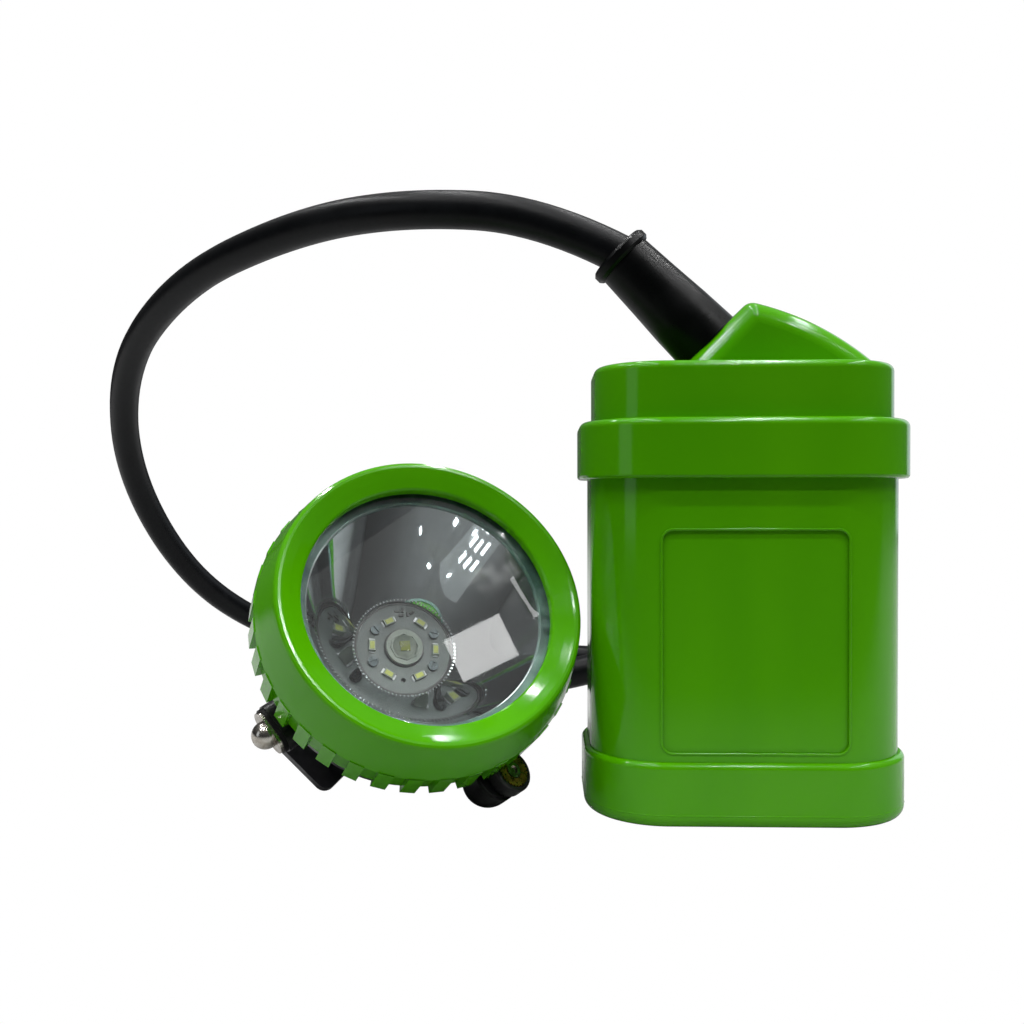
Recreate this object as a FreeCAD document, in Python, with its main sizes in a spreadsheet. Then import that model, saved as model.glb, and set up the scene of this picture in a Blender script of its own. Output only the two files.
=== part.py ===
import FreeCAD, Part
import math
import os
import Sketcher
from FreeCAD import Vector as V, Rotation, Placement

# Miner's cap lamp, millimetres.  Origin: middle of the battery's flat base, on the
# surface it stands on.  +Z up, label face towards -Y, lamp head on the -X side.

doc = FreeCAD.newDocument("cap_lamp")
sheet = doc.addObject("Spreadsheet::Sheet", "dims")

SIZES = [
    ("case_wide", 63.0), ("case_deep", 42.0), ("case_round", 14.9),
    ("case_foot", 2.4), ("case_rim", 76.8), ("case_wall", 2.0),
    ("base_grow", 1.25), ("base_high", 12.75),
    ("collar_grow", 2.2), ("collar_low", 68.2), ("collar_top", 80.0),
    ("cap_shrink", 0.85), ("cap_top", 91.3), ("cover_wall", 2.0), ("cover_roof", 2.5),
    ("panel_wide", 36.2), ("panel_high", 43.6), ("panel_deep", 0.5), ("panel_mid", 36.3),
    ("panel_round", 2.2),
    ("hood_wide", 20.0), ("gasket_thick", 0.8),
    ("cell_rad", 9.1), ("cell_long", 65.0), ("cell_gap", 9.4),
    ("loop_gap", 5.5), ("loop_thick", 3.0), ("loop_wide", 9.0), ("belt_wide", 40.0),
    ("cord_rad", 4.25), ("bore_slack", 0.05),
    ("boot_long", 24.8), ("boot_fat", 7.5), ("boot_thin", 6.1), ("bead_rad", 7.0),
    ("coil_rad", 42.5), ("coil_high", 30.0),
    ("open_rad", 25.6), ("crown_rad", 30.3), ("flange_rad", 33.7), ("skirt_rad", 32.6),
    ("rib_rad", 33.8), ("rib_wide", 3.0), ("rib_count", 36.0),
    ("flange_deep", 8.4), ("skirt_deep", 16.0), ("rib_deep", 16.4),
    ("thread_rad", 29.5), ("lens_rad", 27.9), ("lens_thick", 2.4), ("lens_front", 1.9),
    ("rim_rad", 24.0), ("mirror_wall", 0.8), ("board_rad", 10.3), ("board_deep", 25.2),
    ("board_thick", 1.6), ("shell_wall", 2.2), ("shell_deep", 41.5),
    ("knob_rad", 4.6), ("knob_long", 3.4), ("pod_rad", 5.4), ("wheel_rad", 3.6),
    ("shaft_rad", 1.2), ("dome_rad", 2.8), ("hook_wide", 18.0), ("hook_thick", 2.5),
]
for row, (name, value) in enumerate(SIZES, 1):
    sheet.set("A%d" % row, name)
    sheet.set("B%d" % row, str(value))
    sheet.setAlias("B%d" % row, name)
doc.recompute()


class Size:
    """A sheet dimension or a sum of them: its value and the expression for it."""

    def __init__(self, value, text):
        self.value, self.text = float(value), text

    def _mix(self, other, sign, flip=False):
        if not isinstance(other, Size):
            other = Size(other, repr(float(other)))
        left, right = (other, self) if flip else (self, other)
        value = {"+": left.value + right.value, "-": left.value - right.value,
                 "*": left.value * right.value,
                 "/": left.value / (right.value or 1.0)}[sign]
        return Size(value, "(%s %s %s)" % (left.text, sign, right.text))

    def __add__(self, other):
        return self._mix(other, "+")

    def __radd__(self, other):
        return self._mix(other, "+", True)

    def __sub__(self, other):
        return self._mix(other, "-")

    def __rsub__(self, other):
        return self._mix(other, "-", True)

    def __mul__(self, other):
        return self._mix(other, "*")

    def __rmul__(self, other):
        return self._mix(other, "*", True)

    def __truediv__(self, other):
        return self._mix(other, "/")

    def __neg__(self):
        return 0.0 - self


d = {name: Size(value, "dims." + name) for name, value in SIZES}


def num(x):
    return x.value if isinstance(x, Size) else float(x)


def bind(obj, prop, x):
    """Give a property its value, and its expression when it comes from the sheet."""
    if isinstance(x, Size):
        obj.setExpression(prop, x.text)
    else:
        setattr(obj, prop, x)


# ---------------------------------------------------------------- frames
HEAD_AT = V(-63.4, -18.2, 44.02)
HEAD_TURN, HEAD_TILT = 22.8, 59.7
head = Placement(HEAD_AT, Rotation(V(0, 0, 1), HEAD_TURN) * Rotation(V(1, 0, 0), HEAD_TILT))
here = Placement()


def along(direction, at=V(0, 0, 0)):
    """Placement whose local Z runs along a direction."""
    return Placement(at, Rotation(V(0, 0, 1), V(*direction)))


GLAND_AT = V(-6.15, 0, 97.45)
gland = along((-1, 0, 1), GLAND_AT)
LAMP_EXIT = V(-60.0, 40.2, 20.2)
EXIT_DIR = V(0.5, 0.83, -0.25).normalize()
exit_gland = along(tuple(EXIT_DIR), LAMP_EXIT - EXIT_DIR * 20.0)

# switch axis in the head's own frame: leans out from the head's axis
SWITCH_FACE = V(17.7, -30.3, -18.7)
SWITCH_DIR = V(0.350, 0.108, 0.930).normalize()
switch = head * along(tuple(SWITCH_DIR), SWITCH_FACE)

# the charging contact looks straight out from the head's side
CONTACT_TURN, CONTACT_DEEP = 209.5, 22.2
contact_out = V(math.cos(math.radians(CONTACT_TURN)), math.sin(math.radians(CONTACT_TURN)), 0)
contact = head * Placement(V(0, 0, -CONTACT_DEEP),
                           Rotation(V(0, 0, 1), CONTACT_TURN) * Rotation(V(0, 1, 0), 90))


# ---------------------------------------------------------------- builders
count = [0]


def fresh(kind, hint):
    count[0] += 1
    return doc.addObject(kind, "%s_%d" % (hint, count[0]))


def cyl(rad, high, at=(0, 0, 0), frame=None, turn=None):
    """Cylinder along local Z; turn is an extra rotation inside its frame."""
    obj = fresh("Part::Cylinder", "cyl")
    bind(obj, "Radius", rad)
    bind(obj, "Height", high)
    local = Placement(V(*[num(a) for a in at]), turn or Rotation())
    obj.Placement = (frame or here) * local
    return obj


def block(long, wide, high, at, frame=None, turn=None):
    """Box centred on local X and Y, standing on local Z."""
    obj = fresh("Part::Box", "box")
    bind(obj, "Length", long)
    bind(obj, "Width", wide)
    bind(obj, "Height", high)
    local = Placement(V(*[num(a) for a in at]), turn or Rotation())
    obj.Placement = (frame or here) * local * Placement(V(-num(long) / 2, -num(wide) / 2, 0),
                                                        Rotation())
    return obj


def ball(rad, at, frame=None):
    obj = fresh("Part::Sphere", "ball")
    bind(obj, "Radius", rad)
    obj.Placement = (frame or here) * Placement(V(*at), Rotation())
    return obj


def join(*parts):
    if len(parts) == 1:
        return parts[0]
    obj = fresh("Part::MultiFuse", "fuse")
    obj.Shapes = list(parts)
    return obj


def cut(base, *tools):
    obj = fresh("Part::Cut", "cut")
    obj.Base = base
    obj.Tool = join(*tools)
    return obj


nodes = []


def node(label, obj, fit=None):
    """Name a finished sub-part; its file is called the same."""
    obj.Label = label
    nodes.append((label, obj))
    return obj


def group(label, *solids):
    """Several separate identical solids kept together as one node."""
    obj = fresh("Part::Compound", "set")
    obj.Links = list(solids)
    return node(label, obj)


def plane_of(body, role):
    for feature in body.Origin.OriginFeatures:
        if feature.Role == role:
            return feature


def sketch_on(body, role, lift=0.0):
    sk = body.newObject("Sketcher::SketchObject", "sk_%d" % (len(doc.Objects)))
    sk.AttachmentSupport = [(plane_of(body, role), "")]
    sk.MapMode = "FlatFace"
    if isinstance(lift, Size):
        sk.setExpression("AttachmentOffset.Base.z", lift.text)
    sk.AttachmentOffset = Placement(V(0, 0, num(lift)), Rotation())
    return sk


def pin(sk, geo, point, x, y):
    """Fix a sketch point by its two distances from the origin, bound to the sheet."""
    for kind, value in (("DistanceX", x), ("DistanceY", y)):
        index = sk.addConstraint(Sketcher.Constraint(kind, -1, 1, geo, point, num(value)))
        if isinstance(value, Size):
            sk.setExpression("Constraints[%d]" % index, value.text)


def loop_sketch(sk, points):
    """Closed outline of straight lines through the points."""
    n = len(points)
    for i in range(n):
        a, b = points[i], points[(i + 1) % n]
        sk.addGeometry(Part.LineSegment(V(num(a[0]), num(a[1]), 0), V(num(b[0]), num(b[1]), 0)))
    for i in range(n):
        sk.addConstraint(Sketcher.Constraint("Coincident", i, 2, (i + 1) % n, 1))
    for i, (x, y) in enumerate(points):
        pin(sk, i, 1, x, y)


def round_sketch(sk, wide, deep, rad, mid=(0.0, 0.0)):
    """Rounded rectangle about a middle point."""
    w, h, r = num(wide) / 2, num(deep) / 2, num(rad)
    cx, cy = num(mid[0]), num(mid[1])
    corners = [(cx + w - r, cy - h + r, -90), (cx + w - r, cy + h - r, 0),
               (cx - w + r, cy + h - r, 90), (cx - w + r, cy - h + r, 180)]
    for x, y, start in corners:
        a, b = math.radians(start), math.radians(start + 90)
        sk.addGeometry(Part.ArcOfCircle(Part.Circle(V(x, y, 0), V(0, 0, 1), r), a, b))
    for i in range(4):
        x0, y0, s0 = corners[i]
        x1, y1, s1 = corners[(i + 1) % 4]
        a, b = math.radians(s0 + 90), math.radians(s1)
        sk.addGeometry(Part.LineSegment(V(x0 + r * math.cos(a), y0 + r * math.sin(a), 0),
                                        V(x1 + r * math.cos(b), y1 + r * math.sin(b), 0)))
    for i in range(4):
        sk.addConstraint(Sketcher.Constraint("Tangent", i, 2, 4 + i, 1))
        sk.addConstraint(Sketcher.Constraint("Tangent", 4 + i, 2, (i + 1) % 4, 1))
    for i in range(4):
        index = sk.addConstraint(Sketcher.Constraint("Radius", i, r))
        if isinstance(rad, Size):
            sk.setExpression("Constraints[%d]" % index, rad.text)
    half_w, half_h = wide / 2, deep / 2
    pin(sk, 1, 3, mid[0] + (half_w - rad), mid[1] + (half_h - rad))
    pin(sk, 3, 3, mid[0] - (half_w - rad), mid[1] - (half_h - rad))


def new_body(label, frame=None):
    body = doc.addObject("PartDesign::Body", "body_%d" % len(doc.Objects))
    body.Label = label
    body.Placement = frame or here
    return body


def pad(body, sk, long, down=False, mid=False):
    f = body.newObject("PartDesign::Pad", "pad_%d" % len(doc.Objects))
    f.Profile = sk
    bind(f, "Length", long)
    f.Reversed = down
    f.Midplane = mid
    sk.Visibility = False
    return f


def pocket(body, sk, deep, flip=False):
    """Cut a sketch into the body and make sure that it took something away."""
    doc.recompute()
    before = body.Shape.Volume
    f = body.newObject("PartDesign::Pocket", "pocket_%d" % len(doc.Objects))
    f.Profile = sk
    bind(f, "Length", deep)
    f.Reversed = flip
    doc.recompute()
    if body.Shape.Volume > before - 1.0:
        raise RuntimeError("pocket cut nothing in " + body.Label)
    return f


def round_edges(body, rad, test):
    """Fillet the edges that a test picks from the body's present shape."""
    doc.recompute()
    tip = body.Tip
    names = ["Edge%d" % (i + 1) for i, e in enumerate(tip.Shape.Edges) if test(e)]
    f = body.newObject("PartDesign::Fillet", "fillet_%d" % len(doc.Objects))
    f.Base = (tip, names)
    bind(f, "Radius", rad)
    doc.recompute()
    return f


def flat_at(level, tol=0.02):
    """Edge test: whole edge lies at one height."""
    return lambda e: abs(e.BoundBox.ZMin - level) < tol and abs(e.BoundBox.ZMax - level) < tol


def turned(label, frame, points):
    """Solid of revolution about local Z from (radius, height) points."""
    body = new_body(label, frame)
    sk = sketch_on(body, "XZ_Plane")
    loop_sketch(sk, points)
    f = body.newObject("PartDesign::Revolution", "rev_%d" % len(doc.Objects))
    f.Profile = sk
    f.ReferenceAxis = (sk, ["V_Axis"])
    f.Angle = 360.0
    sk.Visibility = False
    nodes.append((label, body))
    return body


def plate(label, frame, wide, deep, rad, low, high, hole=None):
    """Rounded plate or ring standing on a height, its middle on the frame's axis."""
    body = new_body(label, frame)
    sk = sketch_on(body, "XY_Plane", low)
    round_sketch(sk, wide, deep, rad)
    pad(body, sk, high)
    if hole:
        sk = sketch_on(body, "XY_Plane", low + high)
        round_sketch(sk, *hole)
        pocket(body, sk, high + 1.0)
    nodes.append((label, body))
    return body


# ---------------------------------------------------------------- battery box
wide, deep, rnd = d["case_wide"], d["case_deep"], d["case_round"]
wall = d["case_wall"]

case = new_body("battery_case")
sk = sketch_on(case, "XY_Plane", d["case_foot"])
round_sketch(sk, wide, deep, rnd)
pad(case, sk, d["case_rim"] - d["case_foot"])
sk = sketch_on(case, "XY_Plane", d["case_rim"])
round_sketch(sk, wide - 2.0 * wall, deep - 2.0 * wall, rnd - wall)
pocket(case, sk, d["case_rim"] - d["case_foot"] - wall)
# shallow label panel in the front wall
sk = sketch_on(case, "XZ_Plane", deep / 2)
round_sketch(sk, d["panel_wide"], d["panel_high"], d["panel_round"], (0.0, d["panel_mid"]))
pocket(case, sk, d["panel_deep"])
case_holes = [cyl(1.5, 4.0, (x, num(deep) / 2 - 3.0, 73.0), turn=Rotation(V(1, 0, 0), -90))
              for x in (-18, 18)]
LOOP_X, FOOT_LOW = 17.0, 15.0
foot_mid = (FOOT_LOW + 2.5, FOOT_LOW + 7.5 + num(d["belt_wide"]))
case_holes += [cyl(1.2, 4.0, (sx * LOOP_X, num(deep) / 2 - 3.0, z), turn=Rotation(V(1, 0, 0), -90))
               for sx in (-1, 1) for z in foot_mid]
case.Label = "case_body"
node("battery_case", cut(case, *case_holes))

base = new_body("base_cap")
grow = d["base_grow"]
sk = sketch_on(base, "XY_Plane", 0.0)
round_sketch(sk, wide + 2.0 * grow, deep + 2.0 * grow, rnd + grow)
pad(base, sk, d["base_high"])
sk = sketch_on(base, "XY_Plane", d["base_high"])
round_sketch(sk, wide + 0.1, deep + 0.1, rnd + 0.05)
pocket(base, sk, d["base_high"] - d["case_foot"])
round_edges(base, 2.2, flat_at(0.0))
round_edges(base, 1.15, lambda e: flat_at(num(d["base_high"]))(e)
            and max(abs(e.BoundBox.XMin), abs(e.BoundBox.XMax), 1.5 * abs(e.BoundBox.YMin),
                    1.5 * abs(e.BoundBox.YMax)) > 32.2)
nodes.append(("base_cap", base))

cover = new_body("cover_body")
grow, shrink = d["collar_grow"], d["cap_shrink"]
sk = sketch_on(cover, "XY_Plane", d["collar_low"])
round_sketch(sk, wide + 2.0 * grow, deep + 2.0 * grow, rnd + grow)
pad(cover, sk, d["collar_top"] - d["collar_low"])
sk = sketch_on(cover, "XY_Plane", d["collar_top"])
round_sketch(sk, wide - 2.0 * shrink, deep - 2.0 * shrink, rnd - shrink)
pad(cover, sk, d["cap_top"] - d["collar_top"])


def outer_edge(level, half):
    def test(e):
        box = e.BoundBox
        return flat_at(level)(e) and max(abs(box.XMin), abs(box.XMax), 1.5 * abs(box.YMin),
                                         1.5 * abs(box.YMax)) > half
    return test


round_edges(cover, 1.5, lambda e: flat_at(num(d["cap_top"]))(e)
            or outer_edge(num(d["collar_top"]), 32.2)(e))
round_edges(cover, 0.7, flat_at(num(d["collar_low"])))
# hood over the gland: 45 degree mouth on the left, rounded back on the right
sk = sketch_on(cover, "XZ_Plane")
nose_rad, lean = 2.6, math.radians(14.0)
mouth_low, mouth_top, tail = V(-12.7, 90.9, 0), V(0.4, 104.0, 0), V(28.6, 90.9, 0)
nose_mid = mouth_top + V(1, -1, 0).normalize() * nose_rad
up = V(math.sin(lean), math.cos(lean), 0)
crest = nose_mid + up * nose_rad
chord = tail - crest
swing = -math.atan2(chord.y, chord.x) - lean
back_rad = chord.Length / (2 * math.sin(swing))
back_mid = crest - up * back_rad
sk.addGeometry(Part.LineSegment(mouth_low, mouth_top))
sk.addGeometry(Part.ArcOfCircle(Part.Circle(nose_mid, V(0, 0, 1), nose_rad),
                                math.pi / 2 - lean, 3 * math.pi / 4))
sk.addGeometry(Part.ArcOfCircle(Part.Circle(back_mid, V(0, 0, 1), back_rad),
                                math.pi / 2 - lean - 2 * swing, math.pi / 2 - lean))
sk.addGeometry(Part.LineSegment(tail, mouth_low))
for i in range(4):
    sk.addConstraint(Sketcher.Constraint("Block", i))
pad(cover, sk, d["hood_wide"], mid=True)


def hood_edge(e):
    box = e.BoundBox
    return (box.ZMin > num(d["cap_top"]) - 0.8 and box.ZMax > 100.0 and e.Curve.TypeId !=
            "Part::GeomLine" and abs(box.YMin - box.YMax) < 0.01)


round_edges(cover, 4.5, hood_edge)
sk = sketch_on(cover, "XY_Plane", d["collar_low"])
round_sketch(sk, wide + 0.1, deep + 0.1, rnd + 0.05)
ledge = d["case_rim"] + d["gasket_thick"]
pocket(cover, sk, ledge - d["collar_low"], flip=True)
sk = sketch_on(cover, "XY_Plane", ledge)
thick = d["cover_wall"] + shrink
round_sketch(sk, wide - 2.0 * thick, deep - 2.0 * thick, rnd - thick)
pocket(cover, sk, d["cap_top"] - d["cover_roof"] - ledge, flip=True)
collar_y = num(deep) / 2 + num(grow)
cover_holes = [cyl(5.5, 30.0, (0, 0, -20.0), gland)]
cover_holes += [cyl(1.6, 6.0, (x, collar_y - 4.0, 73.0), turn=Rotation(V(1, 0, 0), -90))
                for x in (-18, 18)]
cover_holes += [cyl(2.7, 3.0, (x, collar_y - 1.2, 73.0), turn=Rotation(V(1, 0, 0), -90))
                for x in (-18, 18)]
node("top_cover", cut(cover, *cover_holes))

plate("cover_gasket", here, wide - 0.2, deep - 0.2, rnd - 0.1, d["case_rim"], d["gasket_thick"],
      hole=(wide - 2.0 * wall + 0.2, deep - 2.0 * wall + 0.2, rnd - wall + 0.1))

back = Rotation(V(1, 0, 0), -90)
group("cover_screws", *[
    cut(join(cyl(2.6, 1.1, (x, collar_y - 1.2, 73.0), turn=back),
             cyl(1.45, 4.0, (x, collar_y - 5.0, 73.0), turn=back)),
        block(0.6, 3.4, 1.0, (x, collar_y - 0.6, 73.0), turn=back)) for x in (-18, 18)])

# belt loops on the back wall, one each side
loop_out = num(d["loop_gap"]) + num(d["loop_thick"])
loop_high = num(d["belt_wide"]) + 10.0
for side, sx in (("left", -1), ("right", 1)):
    at = (sx * LOOP_X, num(deep) / 2 + loop_out / 2, FOOT_LOW)
    body = block(d["loop_wide"], d["loop_gap"] + d["loop_thick"], d["belt_wide"] + 10.0, at)
    gap = block(20.0, d["loop_gap"] + 1.0, d["belt_wide"],
                (sx * LOOP_X, num(deep) / 2 + num(d["loop_gap"]) / 2 - 0.5, FOOT_LOW + 5.0))
    bores = [cyl(1.25, 12.0, (sx * LOOP_X, num(deep) / 2 - 1, z), turn=back) for z in foot_mid]
    sinks = [cyl(2.1, 3.0, (sx * LOOP_X, num(deep) / 2 + loop_out - 1.4, z), turn=back)
             for z in foot_mid]
    loop = cut(body, gap, *(bores + sinks))
    soft = fresh("Part::Fillet", "loop_round")
    soft.Base = loop
    doc.recompute()
    edges = []
    for i, e in enumerate(loop.Shape.Edges):
        box = e.BoundBox
        outer = abs(box.YMin - num(deep) / 2 - loop_out) < 0.01 and abs(box.YMax - box.YMin) < 0.01
        if outer and e.Curve.TypeId == "Part::GeomLine":
            edges.append((i + 1, 0.8, 0.8))
    soft.Edges = edges
    node("belt_loop_" + side, soft)
group("belt_screws", *[
    cut(join(cyl(2.0, 1.2, (sx * LOOP_X, num(deep) / 2 + loop_out - 1.4, z), turn=back),
             cyl(1.15, 9.0, (sx * LOOP_X, num(deep) / 2 + loop_out - 10.3, z), turn=back)),
        block(0.5, 2.6, 1.0, (sx * LOOP_X, num(deep) / 2 + loop_out - 0.7, z), turn=back))
    for sx in (-1, 1) for z in foot_mid])

# what the box holds: two cells side by side, their holders, strips and circuit
CELL_LOW = 6.9
gap_x = num(d["cell_gap"])
group("cells", *[cyl(d["cell_rad"], d["cell_long"], (sx * gap_x, 0, CELL_LOW)) for sx in (-1, 1)])
cell_top = CELL_LOW + num(d["cell_long"])
pockets = [cyl(d["cell_rad"] + 0.1, 10.0, (sx * gap_x, 0, CELL_LOW - 0.2)) for sx in (-1, 1)]
slot = block(30.0, 8.0, 4.0, (0, 0, CELL_LOW - 0.2))
node("cell_holder_lower", cut(block(50.0, 28.0, 5.0, (0, 0, 4.4)), *(pockets + [slot])))
pockets = [cyl(d["cell_rad"] + 0.1, 10.0, (sx * gap_x, 0, cell_top - 10.0)) for sx in (-1, 1)]
slot = block(30.0, 8.0, 4.2, (0, 0, cell_top - 4.0))
node("cell_holder_upper", cut(block(50.0, 28.0, 6.4, (0, 0, cell_top - 4.0)), *(pockets + [slot])))
node("cell_strip_lower", block(28.0, 7.0, 0.2, (0, 0, CELL_LOW - 0.2)))
node("cell_strip_upper", block(28.0, 7.0, 0.2, (0, 0, cell_top)))
board_low = cell_top + 2.4
node("protection_board", block(44.0, 20.0, 1.4, (0, 0, board_low)))
group("battery_chips", *[block(6.0, 5.0, 1.0, (x, 4.0, board_low + 1.4)) for x in (-16, -7, 2)])
group("battery_leads", *[cyl(0.7, 81.2 - board_low - 1.4, (10.6, y, board_low + 1.4))
                         for y in (-1.7, 1.7)])

# ---------------------------------------------------------------- gland, boot and cord ends
cr = d["cord_rad"]
slack = d["bore_slack"]
turned("battery_boot", gland, [
    (cr + slack, -9.0), (5.45, -9.0), (5.45, 0.0), (d["boot_fat"], 0.0),
    (d["boot_fat"] - 0.35, 8.0), (d["boot_fat"] - 0.9, 16.0), (d["boot_thin"], d["boot_long"]),
    (d["bead_rad"] - 0.5, d["boot_long"]), (d["bead_rad"], d["boot_long"] + 0.6),
    (d["bead_rad"], d["boot_long"] + 1.9), (d["bead_rad"] - 0.6, d["boot_long"] + 2.5),
    (5.2, d["boot_long"] + 2.5), (cr + slack, d["boot_long"] - 0.6)])
node("cord_battery_end", cyl(cr, 46.8, (0, 0, -22.6), gland))
node("cord_clamp", cut(cyl(5.8, 3.0, (0, 0, -22.0), gland), cyl(cr + slack, 5.0, (0, 0, -23.0), gland)))
turned("lamp_boot", exit_gland, [
    (cr + slack, -5.0), (5.6, -5.0), (5.6, 0.0), (6.8, 0.0), (6.8, 1.5), (5.6, 17.4),
    (6.1, 17.6), (6.4, 18.2), (6.4, 19.4), (6.0, 20.0), (cr + slack, 20.0)])
node("cord_lamp_end", cyl(cr, 27.0, (0, 0, -7.0), exit_gland))

LEAD = [V(-24.6, 0.0, 116.3), V(-41.6, 3.0, 126.0), V(-72.3, 9.0, 129.4), V(-100.8, 24.0, 129.0),
        V(-137.1, 50.0, 121.9), V(-167.0, 84.0, 104.2), V(-179.8, 120.0, 72.9),
        V(-169.8, 146.0, 37.9), V(-148.8, 170.0, 15.8), V(-116.0, 187.0, 4.4),
        V(-70.0, 186.0, 4.4), V(-22.0, 165.6, 4.4), V(22.0, 164.5, 4.4)]
RETURN = [V(24.0, 79.5, 25.9), V(-1.0, 79.6, 23.0), V(-25.0, 76.0, 15.5),
          V(-47.0, 61.8, 13.7), LAMP_EXIT]


def cord_tube(label, points):
    """Round cord along straight runs joined by tangent arcs."""
    edges, at = [], points[0]
    for i in range(1, len(points) - 1):
        a, b, c = points[i - 1], points[i], points[i + 1]
        first, second = (a - b), (c - b)
        shorter = min(first.Length, second.Length)
        first.normalize()
        second.normalize()
        turn = math.pi - math.acos(max(-1.0, min(1.0, first.dot(second))))
        back_off = 0.45 * shorter
        rad = back_off / math.tan(turn / 2)
        print("%s arc %d: radius %.1f mm, turn %.1f deg, run %.1f mm"
              % (label, i, rad, math.degrees(turn), (b - a).Length))
        start, end = b + first * back_off, b + second * back_off
        half = (first + second).normalize()
        middle = b + half * (rad / math.cos(turn / 2) - rad)
        edges.append(Part.LineSegment(at, start).toShape())
        edges.append(Part.Arc(start, middle, end).toShape())
        at = end
    edges.append(Part.LineSegment(at, points[-1]).toShape())
    path = Part.Wire(edges)
    direction = (points[1] - points[0]).normalize()
    ring = Part.Wire([Part.Circle(points[0], direction, num(cr)).toShape()])
    solid = path.makePipeShell([ring], True, False)
    expect = path.Length * math.pi * num(cr) ** 2
    print("%s length %.1f mm, volume %.0f, expected %.0f"
          % (label, path.Length, solid.Volume, expect))
    if abs(solid.Volume / expect - 1) > 0.02:
        raise RuntimeError("cord volume is off in " + label)
    obj = fresh("Part::Feature", "cord")
    obj.Shape = solid
    obj.Placement = here
    node(label, obj)
    return path.Length


lead_long = cord_tube("cord_lead", LEAD)
return_long = cord_tube("cord_return", RETURN)
COIL_AT = V(22.0, 122.0, 0.15)
ring_out, ring_in = d["coil_rad"] + cr, d["coil_rad"] - cr
turned("cord_coil", Placement(COIL_AT, Rotation()), [
    (ring_in, 2.0), (ring_in + 2.0, 0.0), (ring_out - 2.0, 0.0), (ring_out, 2.0),
    (ring_out, d["coil_high"] - 2.0), (ring_out - 2.0, d["coil_high"]),
    (ring_in + 2.0, d["coil_high"]), (ring_in, d["coil_high"] - 2.0)])
COIL_TURNS = 2.5
coil_long = COIL_TURNS * math.hypot(2 * math.pi * num(d["coil_rad"]), 8.6)
print("cord in all %.0f mm outside the boots" % (lead_long + coil_long + return_long))

# ---------------------------------------------------------------- lamp head
fd, sd, rd = d["flange_deep"], d["skirt_deep"], d["rib_deep"]
seat = d["lens_front"] + d["lens_thick"] + 0.6
thread = d["thread_rad"] + slack
ring = new_body("bezel_ring", head)
sk = sketch_on(ring, "XZ_Plane")
loop_sketch(sk, [
    (d["open_rad"], -0.6), (d["open_rad"] + 0.1, -0.25), (d["open_rad"] + 0.4, 0.05),
    (28.0, 1.22), (29.4, 1.98), (29.8, 2.17), (d["crown_rad"], 2.25), (30.75, 2.08), (31.05, 1.72),
    (31.25, 1.1), (31.8, -0.9), (32.5, -3.6), (33.1, -5.9), (33.55, -7.8),
    (d["flange_rad"] - 0.05, -8.2), (d["flange_rad"] - 0.3, -1.0 * fd),
    (d["skirt_rad"], -0.1 - fd), (d["skirt_rad"], -1.0 * sd), (thread, -1.0 * sd),
    (thread, -1.0 * seat), (d["lens_rad"] + 0.3, -1.0 * seat),
    (d["lens_rad"] + 0.3, 0.15 - d["lens_front"]), (d["open_rad"], 0.15 - d["lens_front"])])
rev = ring.newObject("PartDesign::Revolution", "ring_turn")
rev.Profile = sk
rev.ReferenceAxis = (sk, ["V_Axis"])
rev.Angle = 360.0
sk = sketch_on(ring, "XY_Plane", -1.0 * rd)
loop_sketch(sk, [(d["skirt_rad"] - 0.6, -0.5 * d["rib_wide"]), (d["rib_rad"], -0.5 * d["rib_wide"]),
                 (d["rib_rad"], 0.5 * d["rib_wide"]), (d["skirt_rad"] - 0.6, 0.5 * d["rib_wide"])])
rib = pad(ring, sk, rd - fd + 0.4)
doc.recompute()
ribs = ring.newObject("PartDesign::PolarPattern", "rib_ring")
ribs.Originals = [rib]
ribs.Axis = (sk, ["N_Axis"])
ribs.Angle = 360.0
ribs.Occurrences = int(num(d["rib_count"]))
ring.Tip = ribs
nodes.append(("bezel", ring))

lf, lt = d["lens_front"], d["lens_thick"]
turned("lens", head, [(0.0, -1.0 * lf), (d["lens_rad"] - 0.4, -1.0 * lf), (d["lens_rad"], -0.4 - lf),
                      (d["lens_rad"], -1.0 * (lf + lt)), (0.0, -1.0 * (lf + lt))])
lens_back = lf + lt
turned("lens_gasket", head, [(24.3, -1.0 * lens_back), (d["lens_rad"], -1.0 * lens_back),
                             (d["lens_rad"], -0.9 - lens_back), (24.3, -0.9 - lens_back)])

# parabolic mirror: bright bowl from its rim down to the hole round the board
RIM_DEEP, HOLE_RAD, HOLE_DEEP = 5.3, 10.9, 24.8
rim = num(d["rim_rad"])
four_f = (rim ** 2 - HOLE_RAD ** 2) / (HOLE_DEEP - RIM_DEEP)
low = -HOLE_DEEP - HOLE_RAD ** 2 / four_f
steps = 10
bowl = []
for i in range(steps + 1):
    r = rim + (HOLE_RAD - rim) * i / steps
    bowl.append((r, low + r * r / four_f))
skin = []
for r, z in bowl:
    slope = 2 * r / four_f
    off = num(d["mirror_wall"]) / math.hypot(slope, 1)
    skin.append((r + off * slope, z - off))
skin[-1] = (skin[-1][0], bowl[-1][1])
profile = [(28.5, -RIM_DEEP)] + bowl + skin[::-1][:-1] + [
    (skin[0][0] + 0.1, -RIM_DEEP - 0.9), (28.5, -RIM_DEEP - 0.9)]
turned("reflector", head, profile)

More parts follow.
